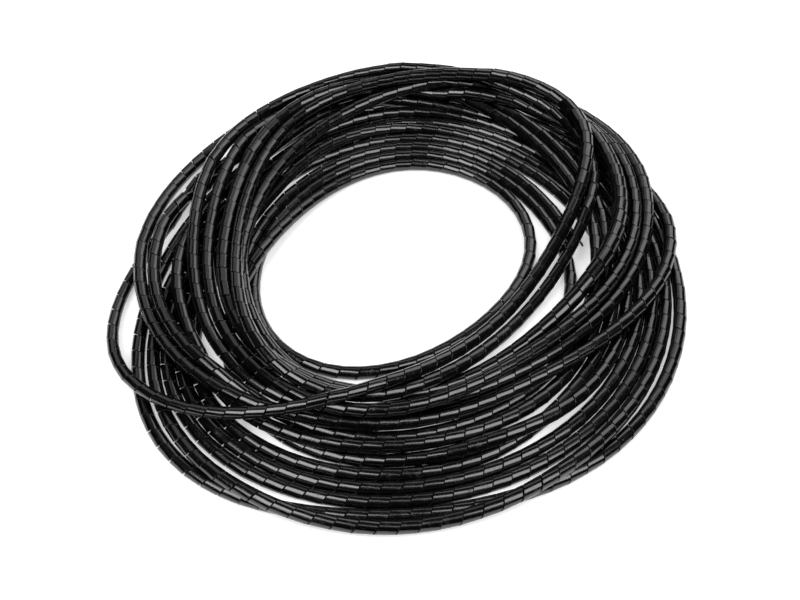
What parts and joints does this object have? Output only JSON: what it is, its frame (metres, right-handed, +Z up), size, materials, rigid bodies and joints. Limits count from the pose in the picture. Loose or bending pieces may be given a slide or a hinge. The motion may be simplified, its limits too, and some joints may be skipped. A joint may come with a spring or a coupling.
{
  "type": "coil of spiral cable wrap",
  "caption": "Loose flat coil of black polyethylene spiral cable wrap, a slit helical tube that is wound round a bundle of wires to hold and protect it.",
  "frame": {"origin": "middle of the coil's bore, on the floor that the coil lies on", "axes": "+Z up along the coil's axis; the coil lies flat on the XY plane, and the picture looks from -Y"},
  "size_m": [0.2684, 0.2688, 0.0179],
  "materials": {
    "black_polyethylene": "satin black, with fine lengthwise extrusion lines"
  },
  "bodies": {
    "root": {"wrap_coil": "black_polyethylene"}
  },
  "joints": []
}
